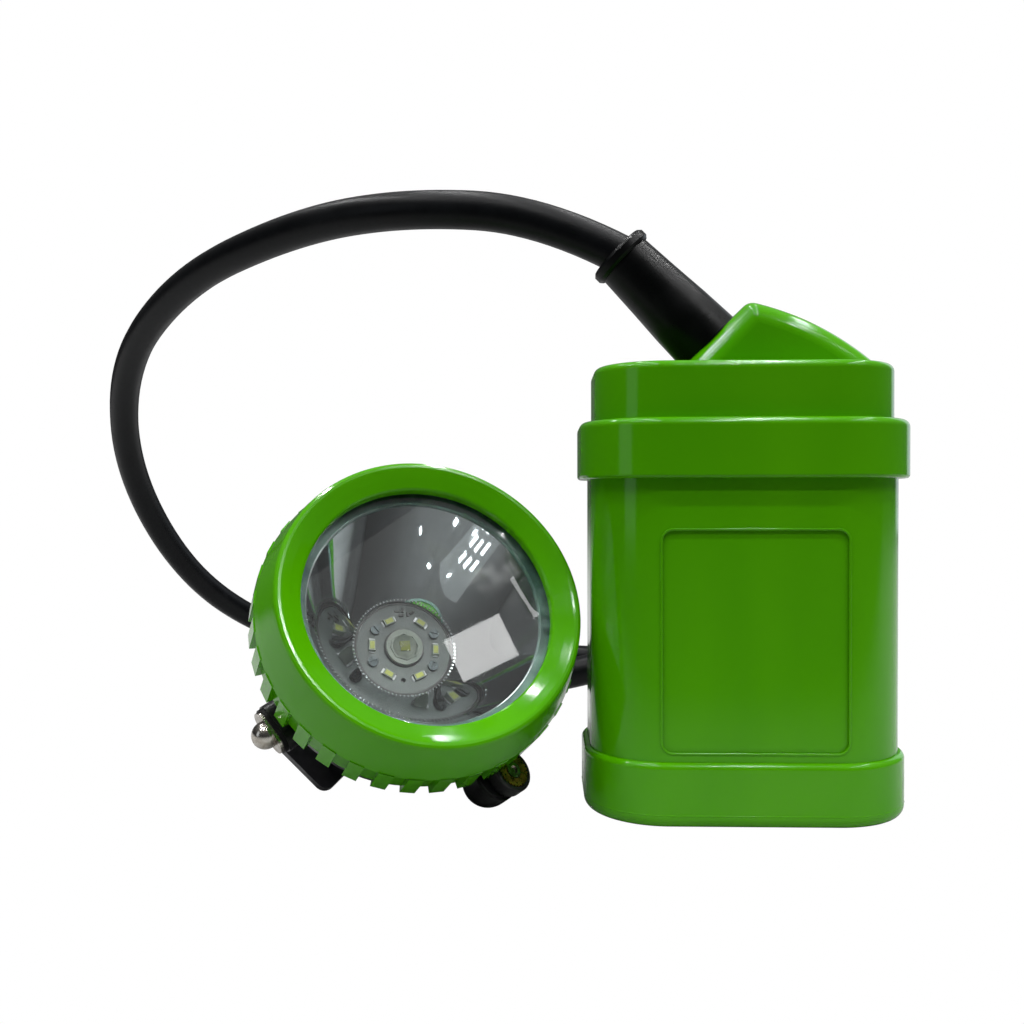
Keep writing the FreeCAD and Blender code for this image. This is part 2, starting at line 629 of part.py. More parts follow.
shell_end = -1.0 * d["shell_deep"]
shell = new_body("shell_body", head)
sk = sketch_on(shell, "XZ_Plane")
loop_sketch(sk, [
    (27.2, -6.3), (d["thread_rad"], -6.3), (d["thread_rad"], -16.9), (31.0, -16.9),
    (31.2, -19.0), (30.2, -24.0), (28.0, -30.0), (25.4, -35.0), (22.6, -38.8), (20.0, -40.6),
    (17.5, shell_end), (0.0, shell_end), (0.0, -38.9), (20.6, -37.6), (21.6, -36.4),
    (21.6, -31.0), (25.3, -31.0), (25.3, -20.0), (27.2, -17.5)])
rev = shell.newObject("PartDesign::Revolution", "shell_turn")
rev.Profile = sk
rev.ReferenceAxis = (sk, ["V_Axis"])
rev.Angle = 360.0
pod_mid = -6.2
sw_local = along(tuple(SWITCH_DIR), SWITCH_FACE)
pod_shift = V(-1.85, 0.24, 0.54)
pod_centre = SWITCH_FACE + SWITCH_DIR * pod_mid + pod_shift
web_dir = V(pod_centre.x, pod_centre.y, 0).normalize()
pod_at = along(tuple(SWITCH_DIR), SWITCH_FACE + pod_shift)
pod = join(cyl(d["pod_rad"], -3.5 - pod_mid, (0, 0, pod_mid), head * pod_at),
           ball(d["pod_rad"], (0, 0, pod_mid), head * pod_at),
           cyl(4.4, 9.0, tuple(web_dir * 25.5 + V(0, 0, pod_centre.z)), head,
               turn=Rotation(V(0, 0, 1), web_dir)))
pod = cut(pod, cyl(7.0, 7.0, (0, 0, -3.5), head * sw_local))
boss = join(block(6.2, 4.4, 8.0, (0, 0, 25.6), contact),
            cyl(3.1, 8.0, (0, 2.2, 25.6), contact), cyl(3.1, 8.0, (0, -2.2, 25.6), contact))
exit_boss = cyl(8.2, 14.0, (0, 0, -14.0), exit_gland)
trim_low = cyl(20.6, 7.0, (0, 0, -37.6), head)
mid_trim = cyl(25.25, 12.0, (0, 0, -31.0), head)
bores = [cyl(d["shaft_rad"] + slack, 14.0, (0, 0, -14.0), head * sw_local),
         cyl(1.55, 14.0, (0, 0, 20.5), contact),
         cyl(5.65, 30.0, (0, 0, -5.0), exit_gland), cyl(cr + 0.3, 20.0, (0, 0, -12.0), exit_gland),
         cyl(7.1, 22.0, (0, 0, 0), exit_gland),
         cyl(d["knob_rad"] + 0.35, 9.0, (0, 0, -3.5), head * sw_local)]
hook_turn = -51.0
hook_frame = head * Placement(V(0, 0, 0), Rotation(V(0, 0, 1), hook_turn))
hook_bolts = [(-5.0, -11.5), (5.0, -11.5)]
bores += [cyl(1.25, 8.0, (x, y, -43.0), hook_frame) for x, y in hook_bolts]
node("lamp_shell", cut(join(shell, pod, boss, exit_boss), trim_low, mid_trim, *bores))

# LED board on its metal carrier, at the mirror's focus
bd, bt = d["board_deep"], d["board_thick"]
board_top, board_back = -num(bd), -num(bd) - num(bt)
turned("led_carrier", head, [(0.0, -1.0 * (bd + bt)), (11.6, -1.0 * (bd + bt)), (11.6, -29.2),
                             (25.1, -29.2), (25.1, -30.9), (0.0, -30.9)])
SCREWS = [(-5.8, 4.5), (7.1, 2.8), (-7.2, -2.8), (5.8, -4.6)]
board = cut(cyl(d["board_rad"], bt, (0, 0, board_back), head),
            *([cyl(0.62, 3.0, (x, y, board_back - 0.5), head) for x, y in SCREWS]
              + [cyl(0.5, 3.0, (-1.1, -7.3, board_back - 0.5), head)]))
node("led_board", board)
group("board_screws", *[cut(join(cyl(1.1, 0.6, (x, y, board_top), head),
                                 cyl(0.58, 1.6, (x, y, board_back), head)),
                            block(0.35, 1.6, 0.5, (x, y, board_top + 0.35), head,
                                  turn=Rotation(V(0, 0, 1), 30 + 40 * i)))
                        for i, (x, y) in enumerate(SCREWS)])
node("main_led", join(cyl(4.05, 0.9, (0, 0, board_top), head)))
node("led_die", block(1.7, 1.7, 0.2, (0, 0, board_top + 0.9), head))
node("led_dome", cut(ball(2.7, (0, 0, board_top + 0.5), head),
                     block(8.0, 8.0, 4.0, (0, 0, board_top - 3.1), head),
                     block(1.7, 1.7, 0.2, (0, 0, board_top + 0.9), head)))
AUX = [(51, 7.2), (112, 6.8), (172.5, 7.05), (352.3, 7.0), (234, 7.1), (290, 7.05)]
group("aux_leds", *[block(2.4, 1.5, 0.7, (r * math.cos(math.radians(a)),
                                          r * math.sin(math.radians(a)), board_top), head,
                          turn=Rotation(V(0, 0, 1), a + 90)) for a, r in AUX])
node("driver_board", cyl(18.0, 1.2, (0, 0, -34.0), head))
group("driver_parts", *[block(4.0, 3.0, 1.5, (x, y, -32.8), head)
                        for x, y in ((-8, 5), (6, -6), (9, 4))])
group("lamp_leads", *[cyl(0.7, 2.6, (x, -2.0, -36.6), head) for x in (2.0, 4.6)])

# charging contact: domed nut and oval plate on a gasket
def oval(high, low, grow=0.0):
    return join(block(5.4 + 2 * grow, 4.0, high, (0, 0, low), contact),
                cyl(2.7 + grow, high, (0, 2.0, low), contact),
                cyl(2.7 + grow, high, (0, -2.0, low), contact))


post = 1.5
node("charge_gasket", cut(oval(0.9, 33.6, 0.3), cyl(post + slack, 3.0, (0, 0, 33.0), contact)))
node("charge_plate", cut(oval(0.7, 34.5), cyl(post + slack, 3.0, (0, 0, 33.0), contact)))
dome = cut(ball(d["dome_rad"], (0, 0, 35.7), contact), block(9.0, 9.0, 3.0, (0, 0, 32.2), contact))
node("charge_contact", join(dome, cyl(d["dome_rad"], 0.5, (0, 0, 35.2), contact),
                            cyl(post, 14.0, (0, 0, 22.0), contact)))
node("charge_nut", cut(cyl(2.6, 1.8, (0, 0, 23.0), contact), cyl(post + slack, 4.0, (0, 0, 22.0), contact)))

# rotary switch on the leaning pod
kr, kl = d["knob_rad"], d["knob_long"]
knob = cut(cyl(kr, kl, (0, 0, -1.0 * kl), switch), cyl(d["wheel_rad"] + 0.1, 3.0, (0, 0, -0.7), switch),
           cyl(d["shaft_rad"], 9.0, (0, 0, -6.0), switch))
knob_round = fresh("Part::Fillet", "knob_round")
knob_round.Base = knob
doc.recompute()
knob_round.Edges = [(i + 1, 0.5, 0.5) for i, e in enumerate(knob.Shape.Edges)
                    if e.Curve.TypeId == "Part::GeomCircle" and abs(e.Curve.Radius - num(kr)) < 0.01]
node("switch_knob", knob_round)
teeth = [block(0.5, 0.35, 2.0, (num(d["wheel_rad"]) * math.cos(k * math.pi / 14),
                                num(d["wheel_rad"]) * math.sin(k * math.pi / 14), -1.0), switch,
               turn=Rotation(V(0, 0, 1), k * 180.0 / 14)) for k in range(28)]
node("switch_wheel", cut(cyl(d["wheel_rad"], 0.8, (0, 0, -0.7), switch),
                         cyl(1.9, 3.0, (0, 0, -1.5), switch), *teeth))
node("switch_pin", cut(cyl(1.7, 0.9, (0, 0, -0.7), switch), cyl(0.9, 1.0, (0, 0, -0.2), switch)))
node("switch_shaft", cyl(d["shaft_rad"], 9.2, (0, 0, -9.9), switch))

# cap hook: flat plate across the back of the head, its tongue past the head's edge
hw, ht = num(d["hook_wide"]), d["hook_thick"]
hook = new_body("hook_body", hook_frame)
sk = sketch_on(hook, "XY_Plane", shell_end - ht)
round_sketch(sk, Size(hw, "dims.hook_wide"), 23.0, 2.4, (0.0, -17.2))
pad(hook, sk, ht)
hook_holes = [cyl(1.3, 6.0, (x, y, -46.0), hook_frame) for x, y in hook_bolts]
hook_lip = block(d["hook_wide"] - 6.0, 2.0, 3.0, (0, -26.6, num(shell_end) - num(ht) - 2.9), hook_frame)
node("cap_hook", cut(join(hook, hook_lip), *hook_holes))
group("hook_screws", *[cut(join(cyl(2.4, 1.3, (x, y, num(shell_end) - num(ht) - 1.3), hook_frame),
                                cyl(1.2, 5.6, (x, y, num(shell_end) - num(ht) - 0.1), hook_frame)),
                           block(0.6, 3.2, 0.7, (x, y, num(shell_end) - num(ht) - 1.4), hook_frame))
                       for x, y in hook_bolts])

# ---------------------------------------------------------------- checks and files
doc.recompute()
for obj in doc.Objects:
    state = [s for s in obj.State if s in ("Invalid", "Error")]
    if state:
        raise RuntimeError("%s (%s) is %s" % (obj.Name, obj.Label, state))
for label, obj in nodes:
    obj.Label = label
    shape = obj.Shape
    if shape.isNull() or not shape.isValid() or not shape.Solids:
        raise RuntimeError("bad shape in " + label)
os.makedirs("parts", exist_ok=True)
low_z = 0.0
for label, obj in nodes:
    shape = obj.Shape
    box = shape.BoundBox
    print("%-20s solids %2d  volume %9.1f  x %7.1f %7.1f  y %7.1f %7.1f  z %7.2f %7.2f"
          % (label, len(shape.Solids), shape.Volume, box.XMin, box.XMax, box.YMin, box.YMax,
             box.ZMin, box.ZMax))
    shape.exportStep("parts/%s.step" % label)
print(len(nodes), "sub-parts")
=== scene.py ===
"""A miner's cap lamp: battery box, rubber cord and lamp head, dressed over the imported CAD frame."""
import math

import bmesh
import bpy
from mathutils import Matrix, Vector


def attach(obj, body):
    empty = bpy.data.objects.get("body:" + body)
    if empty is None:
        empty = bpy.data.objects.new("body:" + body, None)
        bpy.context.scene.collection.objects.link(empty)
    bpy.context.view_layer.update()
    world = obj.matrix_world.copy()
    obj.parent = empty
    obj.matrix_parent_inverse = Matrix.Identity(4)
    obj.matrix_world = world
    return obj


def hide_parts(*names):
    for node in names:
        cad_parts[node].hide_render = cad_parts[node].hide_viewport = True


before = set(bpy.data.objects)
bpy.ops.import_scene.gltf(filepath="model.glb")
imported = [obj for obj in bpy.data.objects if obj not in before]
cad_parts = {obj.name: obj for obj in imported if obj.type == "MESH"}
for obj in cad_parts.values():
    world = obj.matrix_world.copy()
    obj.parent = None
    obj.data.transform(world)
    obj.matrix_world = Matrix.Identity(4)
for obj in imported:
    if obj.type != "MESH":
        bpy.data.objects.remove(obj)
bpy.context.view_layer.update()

MM = 0.001
scene = bpy.context.scene
scene.view_settings.view_transform = "Standard"
scene.view_settings.look = "None"

# ---------------------------------------------------------------- camera
CAMERA_AT = Vector((-40.918, -225.777, 64.497)) * MM
YAW, PITCH, ROLL = -0.031, 0.014, -0.002  # radians
SENSOR_WIDTH, FOCAL_LENGTH = 36, 36.91  # mm
CLIP_NEAR, CLIP_FAR = 0.01, 20  # m
forward = Vector((math.sin(YAW) * math.cos(PITCH), math.cos(YAW) * math.cos(PITCH), -math.sin(PITCH)))
right = Vector((math.cos(YAW), -math.sin(YAW), 0))
up = right.cross(forward)
right, up = (right * math.cos(ROLL) + up * math.sin(ROLL), up * math.cos(ROLL) - right * math.sin(ROLL))
camera_data = bpy.data.cameras.new("camera")
camera_data.sensor_width = SENSOR_WIDTH
camera_data.lens = FOCAL_LENGTH
camera_data.clip_start, camera_data.clip_end = CLIP_NEAR, CLIP_FAR
camera = bpy.data.objects.new("camera", camera_data)
scene.collection.objects.link(camera)
camera.matrix_world = Matrix(
    (
        (right.x, up.x, -forward.x, CAMERA_AT.x),
        (right.y, up.y, -forward.y, CAMERA_AT.y),
        (right.z, up.z, -forward.z, CAMERA_AT.z),
        (0, 0, 0, 1),
    )
)
scene.camera = camera

# ---------------------------------------------------------------- cord
CORD = 8.5  # diameter, mm
LEAD = [
    (-24.6, 0, 116.3), (-41.6, 3, 126.0), (-72.3, 9, 129.4), (-100.8, 24, 129.0), (-137.1, 50, 121.9),
    (-167, 84, 104.2), (-179.8, 120, 72.9), (-169.8, 146, 37.9), (-148.8, 170, 15.8), (-116, 187, 4.4),
    (-70, 186, 4.4), (-22, 165.6, 4.4), (22, 164.5, 4.4),
]  # fmt: skip
RETURN = [(24, 79.5, 25.9), (-1, 79.6, 23.0), (-25, 76, 15.5), (-47, 61.8, 13.7), (-60, 40.2, 20.2)]
COIL_CENTRE, COIL_RADIUS, COIL_TURNS, COIL_PITCH, COIL_STEPS = (22, 122), 42.5, 2.5, 8.6, 14
SWELL, SWELL_STEP = 0.9, 2.3  # how far the coil wanders from its radius, and its phase per step
CORD_SIDE_STEPS, CORD_LENGTH_STEPS = 6, 12


def coil_points():
    """The turns of the put-away length, clockwise from above, each a diameter over the last."""
    points, steps = [], int(COIL_TURNS * COIL_STEPS)
    for i in range(1, steps):
        turn = i / COIL_STEPS
        angle = math.pi / 2 - 2 * math.pi * turn
        swell = SWELL * math.sin(SWELL_STEP * i)
        points.append(
            (
                COIL_CENTRE[0] + (COIL_RADIUS + swell) * math.cos(angle),
                COIL_CENTRE[1] + (COIL_RADIUS + swell) * math.sin(angle),
                LEAD[-1][2] + COIL_PITCH * turn,
            )
        )
    return points


def spline_curve(name, points, radius):
    """A round NURBS cord through its control points, given in mm."""
    curve = bpy.data.curves.new(name, "CURVE")
    curve.dimensions = "3D"
    curve.bevel_depth = 1.0  # each point's radius is the cord's own, so that its box is true
    curve.bevel_resolution = CORD_SIDE_STEPS
    curve.resolution_u = CORD_LENGTH_STEPS
    spline = curve.splines.new("NURBS")
    spline.points.add(len(points) - 1)
    for point, place in zip(spline.points, points):
        point.co = (place[0] * MM, place[1] * MM, place[2] * MM, 1)
        point.radius = radius * MM
    spline.use_endpoint_u = True
    spline.order_u = 3
    obj = bpy.data.objects.new(name, curve)
    scene.collection.objects.link(obj)
    return obj


cord = spline_curve("cord", LEAD + coil_points() + RETURN, CORD / 2)
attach(cord, "housing")
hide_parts("cord_lead", "cord_return", "cord_coil")


# ---------------------------------------------------------------- materials
def srgb(r, g, b):
    """Linear colour of an 8-bit one."""
    def linear(c):
        c /= 255
        return c / 12.92 if c <= 0.04045 else ((c + 0.055) / 1.055) ** 2.4
    return (linear(r), linear(g), linear(b), 1)


def set_stops(ramp, *stops):
    """Gives a colour ramp its (position, colour) stops, which are in rising order."""
    elements = ramp.color_ramp.elements
    elements[0].position, elements[1].position = stops[0][0], stops[-1][0]
    for position, _ in stops[1:-1]:
        elements.new(position)
    for element, (_, colour) in zip(elements, stops):
        element.color = colour


class Finish:
    """A procedural Principled material. Its noise sizes are mm in the object's own space."""

    def __init__(self, name, colour, roughness, **sockets):
        self.material = bpy.data.materials.new(name)
        self.material.use_nodes = True
        self.tree = self.material.node_tree
        self.shader = self.tree.nodes["Principled BSDF"]
        self.output = self.tree.nodes["Material Output"]
        self.shader.inputs["Base Color"].default_value = colour
        self.shader.inputs["Roughness"].default_value = roughness
        for socket, value in sockets.items():
            self.shader.inputs[socket.replace("_", " ")].default_value = value
        self.coords = self.new("ShaderNodeTexCoord")
        self.height = None

    def new(self, kind, **values):
        node = self.tree.nodes.new(kind)
        for key, value in values.items():
            setattr(node, key, value)
        return node

    def link(self, a, b):
        self.tree.links.new(a, b)

    def stretched(self, stretch, turn=(0, 0, 0)):
        mapping = self.new("ShaderNodeMapping")
        mapping.inputs["Scale"].default_value = stretch
        mapping.inputs["Rotation"].default_value = turn
        self.link(self.coords.outputs["Object"], mapping.inputs["Vector"])
        return mapping.outputs["Vector"]

    def noise(self, size, detail=3, stretch=(1, 1, 1), turn=(0, 0, 0), rough=0.5, distortion=0.0):
        """Noise whose grain is about size mm."""
        node = self.new("ShaderNodeTexNoise")
        node.inputs["Scale"].default_value = 1 / (size * MM)
        node.inputs["Detail"].default_value = detail
        node.inputs["Roughness"].default_value = rough
        node.inputs["Distortion"].default_value = distortion
        self.link(self.stretched(stretch, turn), node.inputs["Vector"])
        return node.outputs["Fac"]

    def cells(self, size, feature="F1"):
        node = self.new("ShaderNodeTexVoronoi", feature=feature)
        node.inputs["Scale"].default_value = 1 / (size * MM)
        self.link(self.coords.outputs["Object"], node.inputs["Vector"])
        return node.outputs["Distance"]

    def ranged(self, source, low, high, out_low, out_high):
        node = self.new("ShaderNodeMapRange")
        node.inputs["From Min"].default_value, node.inputs["From Max"].default_value = low, high
        node.inputs["To Min"].default_value, node.inputs["To Max"].default_value = out_low, out_high
        self.link(source, node.inputs["Value"])
        return node.outputs["Result"]

    def colours(self, source, *stops):
        """A colour ramp over source, from (position, colour) pairs."""
        ramp = self.new("ShaderNodeValToRGB")
        set_stops(ramp, *stops)
        self.link(source, ramp.inputs["Fac"])
        return ramp.outputs["Color"]

    def mixed(self, factor, a, b):
        node = self.new("ShaderNodeMix", data_type="RGBA")
        for socket, value in ((node.inputs[0], factor), (node.inputs[6], a), (node.inputs[7], b)):
            if isinstance(value, (tuple, float, int)):
                socket.default_value = value
            else:
                self.link(value, socket)
        return node.outputs[2]

    def base(self, colour):
        self.link(colour, self.shader.inputs["Base Color"])

    def rough(self, value):
        self.link(value, self.shader.inputs["Roughness"])

    def bump(self, height, depth, strength=1.0):
        """Adds a bump of height over depth mm; each one takes the last one's normal."""
        node = self.new("ShaderNodeBump")
        node.inputs["Strength"].default_value = strength
        node.inputs["Distance"].default_value = depth * MM
        self.link(height, node.inputs["Height"])
        if self.height is not None:
            self.link(self.height, node.inputs["Normal"])
        self.height = node.outputs["Normal"]
        self.link(self.height, self.shader.inputs["Normal"])


GREEN_DEEP, GREEN_PALE, GREEN_SPECK = srgb(70, 151, 0), srgb(78, 160, 2), srgb(24, 62, 8)


def green_plastic(name, deep, pale, gloss=0.1, speck=0.0):
    """Moulded glossy plastic: flow shading, fine swirl scratches, faint orange peel.

    A speck above 0 is the spacing in mm of small dark spots.
    """
    f = Finish(name, deep, gloss, IOR=1.49, Specular_IOR_Level=0.26)
    flow = f.noise(26, detail=2, stretch=(1, 1, 0.35), distortion=0.6)
    colour = f.colours(flow, (0.3, deep), (0.7, pale))
    if speck:
        spots = f.ranged(f.cells(speck), 0.02, 0.045, 0, 1)
        colour = f.mixed(spots, GREEN_SPECK, colour)
    f.base(colour)
    scratch = f.noise(0.35, detail=2, stretch=(1, 0.6, 0.06), turn=(0.3, 0.5, 0.8))
    cloud = f.noise(7, detail=4)
    f.rough(f.ranged(f.mixed(0.35, cloud, scratch), 0.3, 0.75, gloss - 0.04, gloss + 0.1))
    f.bump(f.noise(1.6, detail=2), 0.008)
    f.bump(scratch, 0.0015, 0.5)
    return f.material


def black_rubber(name, colour, pale, gloss, grain=0.25):
    """Black rubber or neoprene: fine grain, dusty bloom and light rubbing marks."""
    f = Finish(name, colour, gloss, IOR=1.5, Specular_IOR_Level=0.13)
    dust = f.noise(9, detail=5, rough=0.62)
    f.base(f.colours(dust, (0.38, colour), (0.8, pale)))
    fine = f.noise(grain, detail=3)
    f.rough(f.ranged(f.mixed(0.4, dust, fine), 0.3, 0.75, gloss - 0.08, gloss + 0.14))
    f.bump(fine, 0.02, 0.8)
    f.bump(f.noise(2.6, detail=2), 0.05, 0.5)
    return f.material


def black_plastic(name, colour, pale, gloss):
    """Spark-eroded black moulding."""
    f = Finish(name, colour, gloss, IOR=1.5)
    wear = f.noise(5, detail=5, rough=0.6)
    f.base(f.colours(wear, (0.4, colour), (0.75, pale)))
    f.rough(f.ranged(f.noise(1.2, detail=4), 0.3, 0.7, gloss - 0.1, gloss + 0.12))
    f.bump(f.noise(0.18, detail=2), 0.012, 0.8)
    return f.material


def metal(name, colour, tarnish, gloss):
    """Plated or turned metal with fine marks, fingerprints and a little tarnish."""
    f = Finish(name, colour, gloss, Metallic=1.0)
    f.base(f.colours(f.noise(1.6, detail=5, rough=0.6), (0.42, colour), (0.72, tarnish)))
    marks = f.noise(0.16, detail=3)
    prints = f.noise(0.9, detail=4)
    f.rough(f.ranged(f.mixed(0.5, prints, marks), 0.3, 0.7, max(gloss - 0.08, 0.03), gloss + 0.16))
    f.bump(marks, 0.006, 0.7)
    return f.material


def mirror():
    """Vacuum-metallised plastic: a true mirror with faint turning ripples and a haze of dust."""
    f = Finish("mirror", srgb(212, 216, 218), 0.02, Metallic=1.0)
    haze = f.noise(6, detail=5, rough=0.65)
    f.base(f.colours(haze, (0.35, srgb(222, 226, 228)), (0.8, srgb(196, 201, 203))))
    f.rough(f.ranged(haze, 0.35, 0.8, 0.012, 0.055))
    f.bump(f.noise(3.2, detail=1), 0.004, 0.6)
    return f.material


def clear(name, tint, ior, rough=0.0):
    """Clear polycarbonate that lets lamp light through to what it covers."""
    f = Finish(name, tint, rough, IOR=ior, Transmission_Weight=1.0)
    smear = f.noise(4, detail=5, rough=0.6)
    f.rough(f.ranged(smear, 0.35, 0.8, rough, rough + 0.035))
    light_path = f.new("ShaderNodeLightPath")
    see_through = f.new("ShaderNodeBsdfTransparent")
    see_through.inputs["Color"].default_value = (0.93, 0.95, 0.94, 1)
    mix = f.new("ShaderNodeMixShader")
    f.link(light_path.outputs["Is Shadow Ray"], mix.inputs[0])
    f.link(f.shader.outputs[0], mix.inputs[1])
    f.link(see_through.outputs[0], mix.inputs[2])
    f.link(mix.outputs[0], f.output.inputs["Surface"])
    return f.material


def circuit(name, mask, pale, gloss):
    """Solder mask over copper, with the tracks raised a hair under it."""
    f = Finish(name, mask, gloss, IOR=1.5, Coat_Weight=0.3, Coat_Roughness=0.2)
    tracks = f.ranged(f.cells(1.1, "DISTANCE_TO_EDGE"), 0.06, 0.1, 0, 1)
    weave = f.noise(0.3, detail=2)
    clouded = f.colours(f.noise(2.2, detail=4), (0.35, mask), (0.7, pale))
    tracked = f.colours(tracks, (0.0, pale), (1.0, mask))
    f.base(f.mixed(0.35, clouded, tracked))
    f.rough(f.ranged(weave, 0.3, 0.7, gloss - 0.06, gloss + 0.12))
    f.bump(tracks, 0.02, 0.5)
    f.bump(weave, 0.006, 0.6)
    return f.material


def phosphor():
    """Matt yellow phosphor over an LED chip."""
    f = Finish("phosphor", srgb(132, 138, 44), 0.42, IOR=1.45)
    grain = f.noise(0.12, detail=3)
    f.base(f.colours(grain, (0.3, srgb(108, 116, 26)), (0.7, srgb(142, 146, 52))))
    f.rough(f.ranged(grain, 0.3, 0.7, 0.34, 0.55))
    f.bump(grain, 0.01, 0.8)
    return f.material


M = {
    "green": green_plastic("green_plastic", GREEN_DEEP, GREEN_PALE),
    "green_base": green_plastic("green_plastic_base", GREEN_DEEP, GREEN_PALE, speck=11.0),
    "boot": black_rubber("boot_rubber", srgb(3, 4, 4), srgb(10, 11, 12), 0.3),
    "cord": black_rubber("cord_rubber", srgb(5, 6, 8), srgb(15, 17, 19), 0.36, grain=0.35),
    "gasket": black_rubber("gasket_rubber", srgb(18, 18, 19), srgb(44, 44, 45), 0.5),
    "lens_gasket": black_rubber("lens_gasket_rubber", srgb(70, 96, 88), srgb(112, 138, 130), 0.3, grain=0.4),
    "black": black_plastic("black_plastic", srgb(8, 8, 9), srgb(26, 26, 28), 0.38),
    "hook": black_plastic("hook_plastic", srgb(12, 12, 14), srgb(40, 40, 44), 0.42),
    "nickel": metal("nickel_plate", srgb(186, 182, 174), srgb(140, 132, 118), 0.16),
    "brass": metal("brass_wheel", srgb(176, 142, 62), srgb(116, 88, 34), 0.26),
    "steel": metal("zinc_steel", srgb(170, 172, 174), srgb(120, 122, 126), 0.3),
    "dark_steel": metal("blued_steel", srgb(70, 76, 78), srgb(40, 44, 46), 0.26),
    "alu": metal("turned_aluminium", srgb(190, 192, 194), srgb(150, 152, 156), 0.34),
    "mirror": mirror(),
    "lens": clear("clear_lens", (0.965, 0.985, 0.975, 1), 1.49),
    "dome": clear("clear_silicone", (0.98, 0.98, 0.95, 1), 1.41, rough=0.02),
    "board": circuit("grey_board", srgb(42, 52, 50), srgb(56, 65, 63), 0.45),
    "pcb": circuit("green_board", srgb(18, 92, 42), srgb(40, 128, 66), 0.35),
    "phosphor": phosphor(),
    "package": black_plastic("white_package", srgb(84, 92, 84), srgb(108, 114, 104), 0.4),
    "cell": black_plastic("cell_wrap", srgb(24, 70, 140), srgb(44, 96, 170), 0.35),
    "wire": black_rubber("red_wire", srgb(120, 10, 10), srgb(150, 30, 28), 0.4),
}
WEAR = {
    "green": ["battery_case", "top_cover", "bezel", "belt_loop_left", "belt_loop_right"],
    "green_base": ["base_cap"],
    "boot": ["battery_boot", "lamp_boot"],
    "cord": ["cord_battery_end", "cord_lamp_end"],
    "gasket": ["cover_gasket", "charge_gasket"],
    "lens_gasket": ["lens_gasket"],
    "black": [
        "lamp_shell", "switch_knob", "cell_holder_lower", "cell_holder_upper", "cord_clamp",
        "battery_chips", "driver_parts",
    ],
    "hook": ["cap_hook"],
    "nickel": ["charge_plate", "charge_contact", "switch_pin", "cell_strip_lower", "cell_strip_upper"],
    "brass": ["switch_wheel", "charge_nut"],
    "steel": ["cover_screws", "belt_screws", "hook_screws", "switch_shaft"],
    "dark_steel": ["board_screws"],
    "alu": ["led_carrier"],
    "lens": ["lens"],
    "dome": ["led_dome"],
    "board": ["led_board"],
    "pcb": ["protection_board", "driver_board"],
    "phosphor": ["led_die"],
    "package": ["main_led", "aux_leds"],
    "cell": ["cells"],
    "wire": ["battery_leads", "lamp_leads"],
}


def dress(obj, material):
    """Gives obj this material and no other."""
    obj.data.materials.clear()
    obj.data.materials.append(material)


for finish, nodes in WEAR.items():
    for node in nodes:
        dress(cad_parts[node], M[finish])
dress(cord, M["cord"])

# ---------------------------------------------------------------- made pieces
AZIMUTH, TILT = math.radians(22.8), math.radians(59.7)
HEAD = Matrix.Translation(Vector((-63.4, -18.2, 44.02)) * MM) @ (
    Matrix.Rotation(AZIMUTH, 4, "Z") @ Matrix.Rotation(TILT, 4, "X")
)  # middle of the glass opening, z out of the lamp


def add_piece(name, bm, finish, body="housing", frame_at=Matrix.Identity(4), replaces=()):
    """Links bm, given in mm, as a piece that rides on body."""
    bmesh.ops.scale(bm, vec=(MM,) * 3, verts=bm.verts)
    bmesh.ops.transform(bm, matrix=frame_at, verts=bm.verts)
    bmesh.ops.recalc_face_normals(bm, faces=bm.faces)
    mesh = bpy.data.meshes.new(name)
    bm.to_mesh(mesh)
    bm.free()
    obj = bpy.data.objects.new(name, mesh)
    scene.collection.objects.link(obj)
    dress(obj, M[finish])
    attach(obj, body)
    if replaces:
        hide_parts(*replaces)


def lathe(profile, segments, smooth_from=35.0):
    """A closed profile of (r, z) turned round z. Edges sharper than smooth_from degrees stay sharp."""
    bm = bmesh.new()
    rings = []
    for r, z in profile:
        rings.append(
            [
                bm.verts.new((r * math.cos(a), r * math.sin(a), z))
                for a in (2 * math.pi * k / segments for k in range(segments))
            ]
        )
    for one, two in zip(rings, rings[1:] + rings[:1]):
        for k in range(segments):
            n = (k + 1) % segments
            bm.faces.new((one[k], one[n], two[n], two[k])).smooth = True
    bm.normal_update()
    for edge in bm.edges:
        if len(edge.link_faces) == 2 and edge.calc_face_angle(0) > math.radians(smooth_from):
            edge.smooth = False
    return bm


CHAMFER_SLOPE = 0.7  # a chamfer's height over its width


def slab(bm, width, length, low, high, centre=(0, 0), turn=0.0, inset=0.12):
    """Adds a small moulded block with a chamfered top to bm."""
    c, s = math.cos(turn), math.sin(turn)
    levels = [(0, low), (0, high - inset * CHAMFER_SLOPE), (inset, high)]
    rings = []
    for pull, z in levels:
        ring = []
        for x, y in ((-1, -1), (1, -1), (1, 1), (-1, 1)):
            px, py = x * (width / 2 - pull), y * (length / 2 - pull)
            ring.append(bm.verts.new((centre[0] + px * c - py * s, centre[1] + px * s + py * c, z)))
        rings.append(ring)
    for one, two in zip(rings, rings[1:]):
        for k in range(4):
            bm.faces.new((one[k], one[(k + 1) % 4], two[(k + 1) % 4], two[k]))
    bm.faces.new(rings[-1])
    bm.faces.new(rings[0][::-1])


